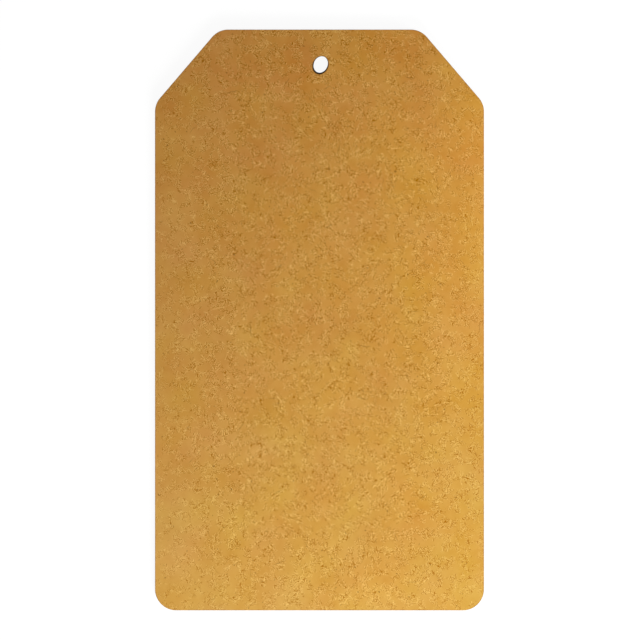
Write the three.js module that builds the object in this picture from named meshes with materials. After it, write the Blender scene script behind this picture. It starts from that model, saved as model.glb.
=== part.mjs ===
// A hanging tag, laser-cut as one flat piece from a sheet of bare brown fibreboard. It has a
// straight top edge, two sloping shoulders, straight sides, six rounded corners and one small
// round hole for a string, near the top edge.
//
// Millimetres. The board lies on its back face: +X is to its right, +Y points to the hole, and
// +Z goes up through its thickness. The origin is under the middle of the board.

import * as THREE from "three";

// Driving dimensions
const BOARD_WIDTH = 85;
const BOARD_LENGTH = 150;
const BOARD_THICKNESS = 3;
const SHOULDER_RUN = 16.4; // from the side to the shoulder's upper corner, along X
const SHOULDER_DROP = 19.2; // from the top edge to the shoulder's lower corner, along Y
const CORNER_RADIUS = 5.5;
const HOLE_DIAMETER = 4.5;
const HOLE_SETBACK = 9.2; // from the top edge to the middle of the hole

// An arc has twice this many straight segments.
const ARC_DETAIL = 6;

const fibreboard = new THREE.MeshStandardMaterial({
  color: 0xc69446,
  roughness: 0.8,
  metalness: 0,
});

// The tag's six sharp corners, anticlockwise from the lower left one.
function tagCorners() {
  const side = BOARD_WIDTH / 2;
  const end = BOARD_LENGTH / 2;
  return [
    new THREE.Vector2(-side, -end),
    new THREE.Vector2(side, -end),
    new THREE.Vector2(side, end - SHOULDER_DROP),
    new THREE.Vector2(side - SHOULDER_RUN, end),
    new THREE.Vector2(-side + SHOULDER_RUN, end),
    new THREE.Vector2(-side, end - SHOULDER_DROP),
  ];
}

// Adds an arc that rounds one sharp corner of an anticlockwise outline. The arc touches both
// edges: its centre lies one radius inside each of them.
function roundCorner(outline, before, corner, after, radius) {
  const incoming = corner.clone().sub(before).normalize();
  const outgoing = after.clone().sub(corner).normalize();
  const turn = Math.acos(incoming.dot(outgoing));
  const setback = radius * Math.tan(turn / 2);
  const start = corner.clone().addScaledVector(incoming, -setback);
  const centre = start.clone().add(new THREE.Vector2(-incoming.y, incoming.x).multiplyScalar(radius));
  const startAngle = Math.atan2(start.y - centre.y, start.x - centre.x);
  outline.absarc(centre.x, centre.y, radius, startAngle, startAngle + turn, false);
}

function tagOutline() {
  const corners = tagCorners();
  const outline = new THREE.Shape();
  corners.forEach((corner, i) => {
    const before = corners.at(i - 1);
    const after = corners[(i + 1) % corners.length];
    roundCorner(outline, before, corner, after, CORNER_RADIUS);
  });
  outline.closePath();
  return outline;
}

// The hole is four quarter arcs, so that it is as smooth as the corners.
function stringHole() {
  const hole = new THREE.Path();
  const centreY = BOARD_LENGTH / 2 - HOLE_SETBACK;
  const quarter = Math.PI / 2;
  for (let i = 0; i < 4; i += 1) {
    hole.absarc(0, centreY, HOLE_DIAMETER / 2, -i * quarter, -(i + 1) * quarter, true);
  }
  return hole;
}

function tagBoard() {
  const outline = tagOutline();
  outline.holes.push(stringHole());
  const geometry = new THREE.ExtrudeGeometry(outline, {
    depth: BOARD_THICKNESS,
    bevelEnabled: false,
    curveSegments: ARC_DETAIL,
  });
  const board = new THREE.Mesh(geometry, fibreboard);
  board.name = "tag_board";
  return board;
}

const craftTag = new THREE.Group();
craftTag.name = "craft_tag";
craftTag.add(tagBoard());

export default craftTag;
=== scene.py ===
# A hanging tag, laser-cut from bare brown fibreboard, lying on a white table under soft light.
# Blender units are metres. The tag lies on its back face, with its hole towards +Y.

import math

import bpy
import numpy as np
from mathutils import Matrix, Vector
from mathutils.geometry import delaunay_2d_cdt


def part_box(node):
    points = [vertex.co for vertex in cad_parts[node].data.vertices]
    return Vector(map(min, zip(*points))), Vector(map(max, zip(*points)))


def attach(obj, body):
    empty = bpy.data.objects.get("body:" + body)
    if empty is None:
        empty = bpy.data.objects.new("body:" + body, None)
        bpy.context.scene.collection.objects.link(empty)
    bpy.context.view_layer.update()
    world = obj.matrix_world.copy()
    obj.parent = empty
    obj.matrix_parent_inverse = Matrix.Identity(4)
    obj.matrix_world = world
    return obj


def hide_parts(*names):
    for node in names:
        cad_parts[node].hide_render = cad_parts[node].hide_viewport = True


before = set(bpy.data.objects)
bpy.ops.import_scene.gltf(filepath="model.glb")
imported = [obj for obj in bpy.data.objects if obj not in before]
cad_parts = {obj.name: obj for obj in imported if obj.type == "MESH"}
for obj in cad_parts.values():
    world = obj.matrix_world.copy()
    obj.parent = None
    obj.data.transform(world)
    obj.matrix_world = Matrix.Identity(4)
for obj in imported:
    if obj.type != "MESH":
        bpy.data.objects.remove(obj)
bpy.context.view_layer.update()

MM = 0.001

# The board's size comes from the frame. Its shoulders and corners repeat the part's own sizes.
board_low, board_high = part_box("tag_board")
BOARD_WIDTH = board_high.x - board_low.x
BOARD_LENGTH = board_high.y - board_low.y
BOARD_THICKNESS = board_high.z - board_low.z
SHOULDER_RUN = 16.4 * MM
SHOULDER_DROP = 19.2 * MM
CORNER_RADIUS = 5.5 * MM
HOLE_HALF_WIDTH = 2.0 * MM  # the hole is a little longer than wide, turned and off the middle
HOLE_HALF_LENGTH = 2.4 * MM
HOLE_TURN = math.radians(65)
HOLE_DROP = 9.2 * MM  # from the board's end to the hole's middle
HOLE_CENTRE = (0.24 * MM, BOARD_LENGTH / 2 - HOLE_DROP)

# The laser's cut
CUT_TAPER = 0.03 * MM  # how much more the beam takes away at the front face than at the back
HOLE_TAPER = 0.25 * MM  # the same in the hole
HOLE_LEAN = (0.06 * MM, 0.18 * MM)  # how far the hole has moved aside when it leaves the back
RIM_RADIUS = 0.06 * MM  # the burnt rims are this much rounded
STREAK_DEPTH = 0.035 * MM  # the deepest groove that the pulsing beam leaves in the wall
STREAK_PITCH = 0.75 * MM  # between two grooves
STREAK_GROUP = 1.9 * MM  # between two groups of deeper ones
TOAST_REACH = 0.10 * MM  # the smoke's brown on the faces fades over this distance from the cut
CUT_STEP = 0.15 * MM  # between two points along the cut
HOLE_STEP = 0.1 * MM
STRIP_WIDTH = 2.0 * MM  # of the strips of both faces that belong to the cut

# The faces
FACE_WAVE = 0.01 * MM  # the sanded faces dip this far in places
FACE_WAVE_LENGTH = 9 * MM
FACE_PITCH = 2.2 * MM  # between two points inside a face
FACE_CLEARANCE = 3.2 * MM  # none of them is nearer to a cut than this


# Shape

def outline_path():
    """The cut's path round the tag, anticlockwise: its centres and outward unit normals, the reach
    from a centre to the cut, and how much the wall tapers and leans.

    The outline is convex and all its corners have one radius, so it is the path of a disc of
    that radius rolled round inside it: each outline point is a disc centre plus the radius times
    the outward normal. On a straight run the centre moves and the normal stays, and on a corner
    the centre stays and the normal turns. Any inset is then the same centres with less radius.
    """
    side = BOARD_WIDTH / 2
    end = BOARD_LENGTH / 2
    corners = np.array([
        (-side, -end),
        (side, -end),
        (side, end - SHOULDER_DROP),
        (side - SHOULDER_RUN, end),
        (-side + SHOULDER_RUN, end),
        (-side, end - SHOULDER_DROP),
    ])
    edges = np.roll(corners, -1, axis=0) - corners
    directions = edges / np.linalg.norm(edges, axis=1)[:, None]
    normals = np.stack([directions[:, 1], -directions[:, 0]], 1)
    before = np.roll(directions, 1, axis=0)
    turns = np.arccos((directions * before).sum(1))
    setbacks = CORNER_RADIUS * np.tan(turns / 2)
    starts = corners + directions * setbacks[:, None]
    ends = np.roll(corners - before * setbacks[:, None], -1, axis=0)
    centres, outward = [], []
    for i in range(len(corners)):
        run = ends[i] - starts[i]
        steps = max(2, round(float(np.linalg.norm(run)) / CUT_STEP))
        share = np.arange(steps)[:, None] / steps
        centres.append(starts[i] - normals[i] * CORNER_RADIUS + run * share)
        outward.append(np.repeat(normals[i][None], steps, 0))
        following = (i + 1) % len(corners)
        turn = turns[following]
        steps = max(2, round(turn * CORNER_RADIUS / CUT_STEP))
        angles = math.atan2(normals[i][1], normals[i][0]) + turn * np.arange(steps) / steps
        centres.append(np.repeat((ends[i] - normals[i] * CORNER_RADIUS)[None], steps, 0))
        outward.append(np.stack([np.cos(angles), np.sin(angles)], 1))
    return np.concatenate(centres), np.concatenate(outward), CORNER_RADIUS, CUT_TAPER, (0.0, 0.0)


def hole_path():
    """The cut's path round the hole, clockwise, in the same terms. The wall faces the hole's axis,
    so the outward normal points there, and the reach from the centre along it is minus the half
    width. The centre slides along the hole's length, by as much as that is more than the width."""
    steps = round(2 * math.pi * HOLE_HALF_LENGTH / HOLE_STEP)
    angles = -2 * math.pi * np.arange(steps) / steps
    outward = -np.stack([np.cos(angles), np.sin(angles)], 1)
    axis = np.array([math.cos(HOLE_TURN), math.sin(HOLE_TURN)])
    slide = (HOLE_HALF_LENGTH - HOLE_HALF_WIDTH) * (-outward @ axis)
    centres = np.outer(slide, axis) + HOLE_CENTRE
    return centres, outward, HOLE_TAPER - HOLE_HALF_WIDTH, HOLE_TAPER, HOLE_LEAN


def smooth_noise(places, wavelength, seed):
    """Smooth noise between -1 and 1 on places in space: a sum of sine waves with random
    directions and phases and lengths about the one given."""
    random = np.random.default_rng(seed)
    total = np.zeros(len(places))
    waves = 14
    for _ in range(waves):
        direction = random.normal(size=places.shape[1])
        direction /= np.linalg.norm(direction)
        length = wavelength * random.uniform(0.7, 1.6)
        phase = random.uniform(0, 2 * math.pi)
        total += np.sin(2 * math.pi * (places @ direction) / length + phase)
    return total / math.sqrt(waves * 2)


def cut_profile():
    """The section of the board beside a cut, from the back face round the wall to the front face:
    each point's distance from the rim, its height, and whether it is on the cut at all. Both rims
    are quarter circles."""
    face = np.array([STRIP_WIDTH, 0.6 * MM, 0.2 * MM, 0.12 * MM])
    quarter = np.linspace(0, math.pi / 2, 4)
    back_inset = RIM_RADIUS * (1 - np.sin(quarter))
    back_height = RIM_RADIUS * (1 - np.cos(quarter))
    wall_height = np.linspace(RIM_RADIUS, BOARD_THICKNESS - RIM_RADIUS, 10)[1:-1]
    heights = np.concatenate([
        np.zeros(len(face)),
        back_height,
        wall_height,
        BOARD_THICKNESS - back_height[::-1],
        np.full(len(face), BOARD_THICKNESS),
    ])
    on_wall = np.zeros(len(heights))
    on_wall[len(face):-len(face)] = 1
    wall_inset = np.zeros(len(wall_height))
    rims = np.concatenate([face, back_inset, wall_inset, back_inset[::-1], face[::-1]])
    return rims, heights, on_wall


def cut_band(path, seed):
    """The cut's wall and the strips of both faces beside it: the section carried along the path.
    The wall leans by the taper, and the whole path moves aside by the lean towards the back. The
    grooves run straight down the wall, and they are deeper towards the back, where the beam
    leaves the board. Returns the grid's points and each point's distance from the rim."""
    centres, outward, reach, taper, lean = path
    rims, heights, on_wall = cut_profile()
    on_path = centres + outward * reach
    single = smooth_noise(on_path, STREAK_PITCH, seed)
    grouped = smooth_noise(on_path, STREAK_GROUP, seed + 1)
    groove = STREAK_DEPTH * (0.5 + 0.3 * (single + 0.6 * grouped)).clip(0, 1)
    rise = heights / BOARD_THICKNESS
    inset = rims + taper * rise + on_wall * (1.15 - 0.45 * rise) * groove[:, None]
    aside = np.outer(1 - rise, lean)
    ground = centres[:, None] + aside + outward[:, None] * (reach - inset[..., None])
    height = np.broadcast_to(heights, inset.shape)
    return np.dstack([ground, height]), np.broadcast_to(rims, inset.shape)


def face_points():
    """Points spread over a face, in rows that are shifted by half a step and a little out of
    line, away from the cuts."""
    random = np.random.default_rng(5)
    row_share = 0.87  # rows of equal triangles lie this share of their side apart
    jitter = 0.15
    columns = np.arange(-BOARD_WIDTH / 2, BOARD_WIDTH / 2, FACE_PITCH)
    rows = np.arange(-BOARD_LENGTH / 2, BOARD_LENGTH / 2, FACE_PITCH * row_share)
    grid = np.stack(np.meshgrid(columns, rows), -1)
    grid[1::2, :, 0] += FACE_PITCH / 2
    astray = random.uniform(-jitter, jitter, (grid.size // 2, 2))
    points = grid.reshape(-1, 2) + astray * FACE_PITCH
    side = BOARD_WIDTH / 2 - np.abs(points[:, 0])
    end = BOARD_LENGTH / 2 - np.abs(points[:, 1])
    slope = np.array([SHOULDER_DROP, SHOULDER_RUN]) / math.hypot(SHOULDER_DROP, SHOULDER_RUN)
    corner = np.array([BOARD_WIDTH / 2, BOARD_LENGTH / 2 - SHOULDER_DROP])
    shoulder = (corner - np.stack([np.abs(points[:, 0]), points[:, 1]], 1)) @ slope
    hole = np.linalg.norm(points - HOLE_CENTRE, axis=1) - HOLE_HALF_LENGTH
    clear = np.minimum.reduce([side, end, shoulder, hole])
    rounding = 0.3 * CORNER_RADIUS
    lower_corners = math.sqrt(0.5) * (side + end) - rounding
    return points[np.minimum(clear, lower_corners) > FACE_CLEARANCE]


def fill_face(outer, inner, points):
    """Triangles, anticlockwise from above, of the flat face between an outer and an inner ring of
    points, with more points between them. All are numbered in that order. The inner ring bulges
    outwards everywhere, so a triangle with all its corners on that ring lies inside it."""
    rings = [np.arange(len(outer)), len(outer) + np.arange(len(inner))]
    sides = np.concatenate([np.column_stack([ring, np.roll(ring, -1)]) for ring in rings])
    places = np.concatenate([outer, inner, points])
    in_millimetres = (places * 1000).tolist()
    inside_edges, tolerance = 1, 1e-6
    made = delaunay_2d_cdt(in_millimetres, sides.tolist(), [], inside_edges, tolerance)
    number = np.array([origin[0] for origin in made[3]])
    corners = number[np.array(made[2])]
    on_inner = (corners >= len(outer)) & (corners < len(outer) + len(inner))
    corners = corners[~on_inner.all(1)]
    first, second, third = (places[corners[:, i]] for i in range(3))
    ahead, aside = second - first, third - first
    turned = ahead[:, 0] * aside[:, 1] - ahead[:, 1] * aside[:, 0] < 0
    corners[turned] = corners[turned][:, ::-1]
    return corners


def tag_mesh():
    """The whole board as one closed mesh: a band round the outline, a band round the hole, and
    both faces between them, which dip a little here and there."""
    bands = [cut_band(outline_path(), seed=11), cut_band(hole_path(), seed=23)]
    points = face_points()
    vertices, rim_distance, faces, is_wall = [], [], [], []
    first_of = []
    count = 0
    rows_beside = 7  # on each face and round its rim
    for grid, rims in bands:
        around, rows = grid.shape[:2]
        number = count + np.arange(around * rows).reshape(around, rows)
        following = np.roll(number, -1, axis=0)
        quads = np.stack([number[:, :-1], following[:, :-1], following[:, 1:], number[:, 1:]], -1)
        wall_row = np.arange(rows - 1)
        wall = (wall_row >= rows_beside) & (wall_row < rows - 1 - rows_beside)
        faces.extend(quads.reshape(-1, 4).tolist())
        is_wall.append(np.broadcast_to(wall, quads.shape[:2]).reshape(-1))
        vertices.append(grid.reshape(-1, 3))
        rim_distance.append(rims.reshape(-1))
        first_of.append(number)
        count += around * rows
    outer, inner = first_of
    for row, height, dip in ((0, 0.0, 1), (-1, BOARD_THICKNESS, -1)):
        rings = np.concatenate([outer[:, row], inner[:, row]])
        placed = np.concatenate(vertices)
        corners = fill_face(placed[outer[:, row]][:, :2], placed[inner[:, row]][:, :2], points)
        wave = smooth_noise(points, FACE_WAVE_LENGTH, seed=31 + row)
        wave = FACE_WAVE * (0.5 + 0.5 * wave).clip(0, 1)
        vertices.append(np.column_stack([points, height + dip * wave]))
        rim_distance.append(np.full(len(points), STRIP_WIDTH))
        number = np.concatenate([rings, count + np.arange(len(points))])
        corners = number[corners] if height else number[corners][:, ::-1]
        faces.extend(corners.tolist())
        is_wall.append(np.zeros(len(corners), bool))
        count += len(points)
    return np.concatenate(vertices), faces, np.concatenate(rim_distance), np.concatenate(is_wall)


# Shader maths

class Value:
    """A number that varies over a surface. Arithmetic on it adds Math nodes to its shader."""

    def __init__(self, shader, socket):
        self.shader = shader
        self.socket = socket

    def math(self, operation, *others, clamp=False):
        numbers = dict(enumerate((self, *others)))
        settings = {"operation": operation, "use_clamp": clamp}
        return Value(self.shader, self.shader.node("ShaderNodeMath", settings, numbers).outputs[0])

    def swapped(self, operation, other):
        numbers = {0: other, 1: self}
        made = self.shader.node("ShaderNodeMath", {"operation": operation}, numbers)
        return Value(self.shader, made.outputs[0])

    def __add__(self, other):
        return self.math("ADD", other)

    def __sub__(self, other):
        return self.math("SUBTRACT", other)

    def __mul__(self, other):
        return self.math("MULTIPLY", other)

    def __truediv__(self, other):
        return self.math("DIVIDE", other)

    def __rsub__(self, other):
        return self.swapped("SUBTRACT", other)

    __radd__ = __add__
    __rmul__ = __mul__

    def clamped(self):
        return self.math("ADD", 0.0, clamp=True)


class Shader:
    """A material's nodes. node() adds a node of any type, and the rest are short names for it."""

    def __init__(self, tree):
        self.tree = tree
        self.tree.nodes.clear()

    def node(self, kind, settings=None, sockets=None):
        made = self.tree.nodes.new(kind)
        for name, setting in (settings or {}).items():
            setattr(made, name, setting)
        for name, given in (sockets or {}).items():
            given = given.socket if isinstance(given, Value) else given
            if isinstance(given, bpy.types.NodeSocket):
                self.tree.links.new(given, made.inputs[name])
            else:
                made.inputs[name].default_value = given
        return made

    def vector(self, operation, first, second):
        made = self.node("ShaderNodeVectorMath", {"operation": operation}, {0: first, 1: second})
        return made.outputs["Vector"]

    def scaled(self, vector, factor):
        sockets = {0: vector, "Scale": factor}
        made = self.node("ShaderNodeVectorMath", {"operation": "SCALE"}, sockets)
        return made.outputs["Vector"]

    def split(self, vector):
        made = self.node("ShaderNodeSeparateXYZ", None, {"Vector": vector})
        return [Value(self, socket) for socket in made.outputs]

    def join(self, x, y, z):
        return self.node("ShaderNodeCombineXYZ", None, {"X": x, "Y": y, "Z": z}).outputs["Vector"]

    def mix(self, factor, first, second):
        """The colour that goes from first to second as factor goes from 0 to 1. The Mix node's
        colours are its sockets 6 and 7 and its output 2."""
        sockets = {0: factor, 6: first, 7: second}
        return self.node("ShaderNodeMix", {"data_type": "RGBA"}, sockets).outputs[2]

    def noise(self, vector, size, detail=2.0, shift=0.0, dimensions="2D"):
        """Noise about 0, with blobs of about this size. Another shift gives another noise."""
        settings = {"noise_dimensions": dimensions}
        moved = self.vector("ADD", vector, (shift, shift * 0.7, 0.0))
        sockets = {"Vector": moved, "Scale": 1 / size, "Detail": detail, "Roughness": 0.55}
        made = self.node("ShaderNodeTexNoise", settings, sockets)
        return Value(self, made.outputs["Fac"]) - 0.5


def linear(red, green, blue):
    """A screen colour, in numbers up to 255, as the linear colour that a shader takes."""
    screen = np.array([red, green, blue]) / 255
    value = np.where(screen <= 0.04045, screen / 12.92, ((screen + 0.055) / 1.055) ** 2.4)
    return (*value.tolist(), 1.0)


def new_shader(name):
    material = bpy.data.materials.new(name)
    material.use_nodes = True
    return material, Shader(material.node_tree)


def surface(shader, colour, roughness, height, bump_distance):
    """The end of a matt material: its colour, its roughness and the fine relief of its height.
    Bare board and burnt wood have hardly any gloss."""
    relief = {"Strength": 1.0, "Distance": bump_distance, "Height": height}
    bump = shader.node("ShaderNodeBump", None, relief)
    sockets = {"Base Color": colour, "Roughness": roughness, "Normal": bump.outputs["Normal"]}
    skin = shader.node("ShaderNodeBsdfPrincipled", None, sockets)
    skin.inputs["Specular IOR Level"].default_value = 0.03
    shader.node("ShaderNodeOutputMaterial", None, {"Surface": skin.outputs["BSDF"]})


# Finishes. Places and sizes in them are in millimetres, apart from the bump's distance and the
# rim_distance attribute, which are in metres.

FIBRE_LAYERS = 3
FIBRE_LENGTH = 2.4
FIBRE_WIDTH = 0.19
CURL_WIDTH = 0.17
CURL_STRENGTH = 36.0

GOLD_LOWER_LEFT = linear(202, 153, 75)
GOLD_LOWER_RIGHT = linear(202, 154, 69)
GOLD_UPPER_LEFT = linear(202, 141, 68)
GOLD_UPPER_RIGHT = linear(202, 141, 59)
DARK_FIBRE = linear(159, 98, 0)
SPECK = linear(92, 54, 6)
TOAST = linear(132, 88, 44)
PALE_WALL = linear(150, 110, 66)
DARK_WALL = linear(74, 49, 29)
# Partly char and partly painted shade: the hole's wall is darkened with this as if it lay in
# shadow.
HOLE_CHAR_AND_SHADE = linear(40, 22, 6)
LIGHT_TINT = (0.355, 0.335, 0.14)  # what a light of 1 adds to the board's linear colour


def fibres(shader, flat, cell, length, width, shift, bow=0.35):
    """One fibre in each cell of a Voronoi pattern: a thin ellipse round the cell's point, turned
    at random and bent into a bow. Returns how much of a place it covers, 1 at its middle and 0
    outside it, and a number from 0 to 1 that is each fibre's own."""
    moved = shader.vector("ADD", flat, (shift, shift * 0.7, 0.0))
    sockets = {"Vector": moved, "Scale": 1 / cell, "Randomness": 1.0}
    cells = shader.node("ShaderNodeTexVoronoi", {"voronoi_dimensions": "2D"}, sockets)
    away_x, away_y, _ = shader.split(shader.vector("SUBTRACT", moved, cells.outputs["Position"]))
    turn, bend, own = shader.split(cells.outputs["Color"])
    angle = turn * math.pi
    cosine, sine = angle.math("COSINE"), angle.math("SINE")
    along = away_x * cosine + away_y * sine
    across = away_y * cosine - away_x * sine + (bend - 0.5) * bow * along * along
    reach = 0.6 + 0.8 * bend
    along = along / (reach * length / 2)
    across = across / (width / 2)
    return (1 - along * along - across * across).clamped(), own


def curls(shader, flat, size, width, shift):
    """Curled fibres: the lines along which a noise is 0, all this wide. A place's distance from
    its line is the noise over the noise's slope, which comes from two places beside it. Another
    noise makes the lines dark (below 0) or pale (above 0) in short lengths. Beside a dark line
    the board is painted a little paler, a painted highlight where a groove's edges would catch the
    light, and beside a pale line it is painted a little darker, as painted shade."""
    step = 0.05
    here = shader.noise(flat, size, 0.0, shift)
    right = shader.noise(shader.vector("ADD", flat, (step, 0.0, 0.0)), size, 0.0, shift) - here
    up = shader.noise(shader.vector("ADD", flat, (0.0, step, 0.0)), size, 0.0, shift) - here
    slope = (right * right + up * up).math("SQRT") / step
    least = 0.002  # for where the noise is level
    away = here.math("ABSOLUTE") / (slope * (width / 2) + least)
    # Painted highlight beside dark lines and painted shade beside pale ones, put into the colour.
    beside = (1 - (away - 1.7).math("ABSOLUTE")).clamped()
    profile = (1 - away).clamped() - beside * 0.45
    shade = shader.noise(flat, size * 1.1, 1.0, shift + 50)
    return profile * shade * shade.math("ABSOLUTE")


def board_face():
    """The face of the board: golden brown, cloudy, and felted from dark and pale wood fibres."""
    material, shader = new_shader("fibreboard_face")
    spot = shader.scaled(shader.node("ShaderNodeTexCoord").outputs["Object"], 1 / MM)
    x, y, z = shader.split(spot)

    # The front shows another part of the same endless pattern than the back.
    front = z.math("GREATER_THAN", BOARD_THICKNESS / MM / 2)
    flat = shader.join(x + front * 211, y + front * 97, 0.0)

    # Fibres show a little bent, because the place where they are looked up is warped.
    bend_size, bend_reach = 1.2, 0.9
    sockets = {"Vector": flat, "Scale": 1 / bend_size, "Detail": 1.0}
    sway = shader.node("ShaderNodeTexNoise", {"noise_dimensions": "2D"}, sockets).outputs["Color"]
    sway = shader.vector("SUBTRACT", sway, (0.5, 0.5, 0.5))
    warped = shader.vector("ADD", flat, shader.scaled(sway, bend_reach))

    # Fibres lie over each other in layers. Most are faint, and some are darker or paler.
    tone = shader.noise(flat, 0.3, 0.0) * 0.08
    for layer in range(FIBRE_LAYERS):
        cell = 1.0 + 0.2 * layer
        cover, own = fibres(shader, warped, cell, FIBRE_LENGTH, FIBRE_WIDTH, 17.3 * layer)
        own = own * 2 - 1
        tone = tone + cover * own * own.math("ABSOLUTE")
        curled = curls(shader, flat, 0.6 + 0.25 * layer, CURL_WIDTH, 31.7 * layer)
        tone = tone + curled * CURL_STRENGTH
    busy = (0.5 + shader.noise(flat, 2.4, 1.0, 7.0) * 5.0).clamped() * 1.5

    # Fibres stand out most along the middle, and least at the left side and the lower end.
    upwards = (0.5 + y / (BOARD_LENGTH / MM)).clamped()
    rightwards = (0.5 + x / (BOARD_WIDTH / MM)).clamped()
    beside_middle = rightwards - 0.54
    showing = (1.24 - beside_middle * beside_middle * 3.2) * (0.6 + upwards * 1.6).clamped()
    strokes = tone * busy * showing

    # Here and there lies a short dark speck of bark or a long dark sliver.
    speck, speck_own = fibres(shader, warped, cell=4.0, length=0.5, width=0.32, shift=57.0)
    sliver, sliver_own = fibres(
        shader, warped, cell=12.0, length=3.6, width=0.28, shift=17.0, bow=0.1)
    dark = speck * speck_own * speck_own * 0.9 + sliver * (sliver_own - 0.3) * 0.8

    clouds = shader.noise(flat, 10.0, 3.0)
    patches = shader.noise(flat, 2.6, 3.0)
    greener = shader.noise(flat, 16.0, 2.0, 400.0)
    bluer = shader.noise(flat, 16.0, 2.0, 700.0)

    # The board is redder towards its hole end and greyer towards its left, and its tint wanders.
    lower = shader.mix(rightwards, GOLD_LOWER_LEFT, GOLD_LOWER_RIGHT)
    upper = shader.mix(rightwards, GOLD_UPPER_LEFT, GOLD_UPPER_RIGHT)
    golden = shader.mix(upwards, lower, upper)
    golden = shader.vector("ADD", golden, shader.join(0.0, greener * 0.066, bluer * 0.029))

    # Pale fibres lighten the board, up to a limit, and dark ones cover it with their own brown.
    pale = (strokes.clamped() * 0.98).math("SMOOTH_MIN", 0.42, 0.12)
    light = clouds * 0.30 + patches * 0.16 + pale
    colour = shader.vector("ADD", golden, shader.scaled(LIGHT_TINT, light))
    colour = shader.mix((strokes * -1.65).clamped(), colour, DARK_FIBRE)
    colour = shader.mix(dark.clamped(), colour, SPECK)

    # The smoke has toasted the faces beside the cuts, more in some places than in others.
    attribute = shader.node("ShaderNodeAttribute", {"attribute_name": "rim_distance"})
    toast = (Value(shader, attribute.outputs["Fac"]) * (-1 / TOAST_REACH)).math("EXPONENT")
    toast = (toast * (0.6 + shader.noise(flat, 1.2, 2.0) * 1.6)).clamped()
    colour = shader.mix(toast, colour, TOAST)

    roughness = 0.74 + tone * 0.06 + patches * 0.10
    height = tone * 0.8 - dark * 0.5
    surface(shader, colour, roughness, height, bump_distance=0.01 * MM)
    return material


def cut_wall():
    """The wall that the laser left: toasted brown, streaked straight down by the pulsing beam,
    and darker at its rims, where the smoke went. In the hole it is darker still, partly charred
    where the beam started and partly painted shade of the deep, narrow hole."""
    material, shader = new_shader("laser_cut_wall")
    spot = shader.scaled(shader.node("ShaderNodeTexCoord").outputs["Object"], 1 / MM)
    x, y, z = shader.split(spot)

    # Streaks run up the whole wall, because their pattern is drawn out along Z.
    upright = shader.join(x, y, z * 0.05)
    streak = shader.noise(upright, 0.35, 2.0, dimensions="3D")
    band = shader.noise(upright, 2.8, 2.0, dimensions="3D")
    grain = shader.noise(spot, 0.22, 2.0, dimensions="3D")
    level = z / (BOARD_THICKNESS / MM) - 0.5
    rims = level * level * 4
    light = (0.55 + streak * 1.5 + band * 0.8 + grain * 0.5 - rims * 0.35).clamped()
    colour = shader.mix(light, DARK_WALL, PALE_WALL)

    beside_x, beside_y = x - HOLE_CENTRE[0] / MM, y - HOLE_CENTRE[1] / MM
    hole_reach = 1.5 * HOLE_HALF_LENGTH / MM
    in_hole = (beside_x * beside_x + beside_y * beside_y).math("LESS_THAN", hole_reach ** 2)
    # Painted shade: the hole's wall is darkened further, partly for the char where the beam
    # started and partly as painted shade of the deep hole.
    colour = shader.mix(in_hole * 0.85, colour, HOLE_CHAR_AND_SHADE)
    roughness = 0.82 + grain * 0.2
    height = streak + grain * 0.4
    surface(shader, colour, roughness, height, bump_distance=0.03 * MM)
    return material


# The piece

def add_tag():
    """The tag, with its faces and its cut walls in their own finishes, in place of the plain
    solid."""
    vertices, faces, rim_distance, is_wall = tag_mesh()
    mesh = bpy.data.meshes.new("craft_tag")
    mesh.from_pydata(vertices, [], faces)
    mesh.materials.append(board_face())
    mesh.materials.append(cut_wall())
    mesh.polygons.foreach_set("material_index", is_wall.astype(np.int32))
    mesh.polygons.foreach_set("use_smooth", np.ones(len(faces), bool))
    attribute = mesh.attributes.new("rim_distance", "FLOAT", "POINT")
    attribute.data.foreach_set("value", rim_distance.astype(np.float32))
    mesh.validate()
    mesh.update()
    tag = bpy.data.objects.new("craft_tag", mesh)
    bpy.context.scene.collection.objects.link(tag)
    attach(tag, "root")
    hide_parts("tag_board")
    return tag


# The studio

def seen_directly(shader):
    """1 for what the camera sees, also through glass or as a reflection, and 0 for other rays."""
    path = shader.node("ShaderNodeLightPath")
    names = ("Is Camera Ray", "Is Glossy Ray", "Is Transmission Ray")
    camera, glossy, through = (Value(shader, path.outputs[name]) for name in names)
    return (camera + glossy + through).clamped()


def add_table():
    """A white table top, shown as plain white with a faint part of the light on it, so that it
    keeps the tag's shadow. Away from the tag that part goes, and the table runs into the
    backdrop."""
    reach = 6.0
    corners = [(-reach, -reach, 0), (reach, -reach, 0), (reach, reach, 0), (-reach, reach, 0)]
    mesh = bpy.data.meshes.new("table_top")
    mesh.from_pydata(corners, [], [(0, 1, 2, 3)])
    material, shader = new_shader("white_table")
    x, y, _ = shader.split(shader.node("ShaderNodeTexCoord").outputs["Object"])
    distance = (x * x + y * y).math("SQRT")
    fade_start, fade_end = 0.12, 0.32
    near = ((fade_end - distance) / (fade_end - fade_start)).clamped()
    lit_share = 0.15  # how much of what the table shows near the tag is the real light on it
    made_up = 0.092  # the plain white is this much stronger there, so that the sum is white
    white_share = seen_directly(shader) * (1 - near * lit_share)
    strength = 1 + near * made_up
    white = shader.node("ShaderNodeEmission", None, {"Color": (1, 1, 1, 1), "Strength": strength})
    lit = shader.node("ShaderNodeBsdfDiffuse", None, {"Color": (0.86, 0.86, 0.86, 1)})
    sockets = {"Fac": white_share, 1: lit.outputs["BSDF"], 2: white.outputs["Emission"]}
    skin = shader.node("ShaderNodeMixShader", None, sockets)
    shader.node("ShaderNodeOutputMaterial", None, {"Surface": skin.outputs["Shader"]})
    mesh.materials.append(material)
    table = bpy.data.objects.new("table_top", mesh)
    bpy.context.scene.collection.objects.link(table)


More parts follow.
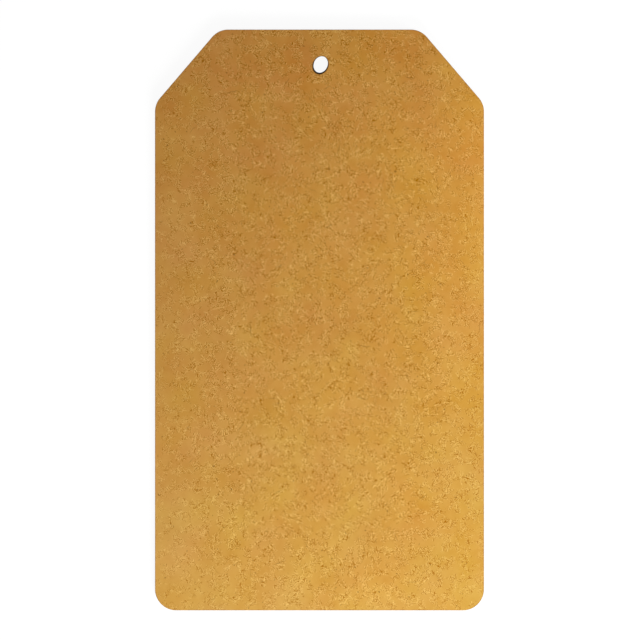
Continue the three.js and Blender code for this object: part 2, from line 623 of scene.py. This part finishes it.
def add_world():
    """Even white light from all round, and a plain white backdrop."""
    world = bpy.data.worlds.new("studio")
    world.use_nodes = True
    shader = Shader(world.node_tree)
    white = (1, 1, 1, 1)
    room_light = 0.27
    room = shader.node("ShaderNodeBackground", None, {"Color": white, "Strength": room_light})
    backdrop = shader.node("ShaderNodeBackground", None, {"Color": white, "Strength": 1.0})
    sockets = {
        "Fac": seen_directly(shader),
        1: room.outputs["Background"],
        2: backdrop.outputs["Background"],
    }
    mixed = shader.node("ShaderNodeMixShader", None, sockets)
    shader.node("ShaderNodeOutputWorld", None, {"Surface": mixed.outputs["Shader"]})
    bpy.context.scene.world = world


def add_lamp(name, place, aim, size, power):
    """A round soft lamp of this width at one place, turned towards another."""
    light = bpy.data.lights.new(name, "AREA")
    light.shape = "DISK"
    light.size = size
    light.energy = power
    lamp = bpy.data.objects.new(name, light)
    bpy.context.scene.collection.objects.link(lamp)
    lamp.location = place
    lamp.rotation_mode = "QUATERNION"
    lamp.rotation_quaternion = (Vector(aim) - Vector(place)).to_track_quat("-Z", "Y")


def add_camera():
    """A long lens, almost straight above the tag."""
    lens, sensor = 800.0, 36.0
    frame_width = 165.2 * MM
    aim = Vector((0.13 * MM, 0.0, BOARD_THICKNESS))
    lean_up, lean_right = math.radians(0.4), math.radians(0.2)
    away = Vector((math.tan(lean_right), math.tan(lean_up), 1.0)).normalized()
    camera = bpy.data.objects.new("camera", bpy.data.cameras.new("camera"))
    camera.data.lens = lens
    camera.data.sensor_width = sensor
    camera.data.clip_end = 100.0
    camera.location = aim + away * (frame_width * lens / sensor)
    right = Vector((0, 1, 0)).cross(away).normalized()
    camera.rotation_mode = "QUATERNION"
    axes = Matrix((right, away.cross(right), away)).transposed()
    camera.rotation_quaternion = axes.to_quaternion()
    bpy.context.scene.collection.objects.link(camera)
    bpy.context.scene.camera = camera


add_tag()
add_table()
add_world()
add_lamp("soft_lamp", place=(0.078, -0.267, 0.2), aim=(0.02, -0.02, 0.0), size=0.22, power=1.24)
add_lamp("side_lamp", place=(0.130, 0.035, 0.045), aim=(0.09, 0.035, 0.0), size=0.05, power=0.09)
add_camera()
bpy.context.scene.view_settings.view_transform = "Standard"
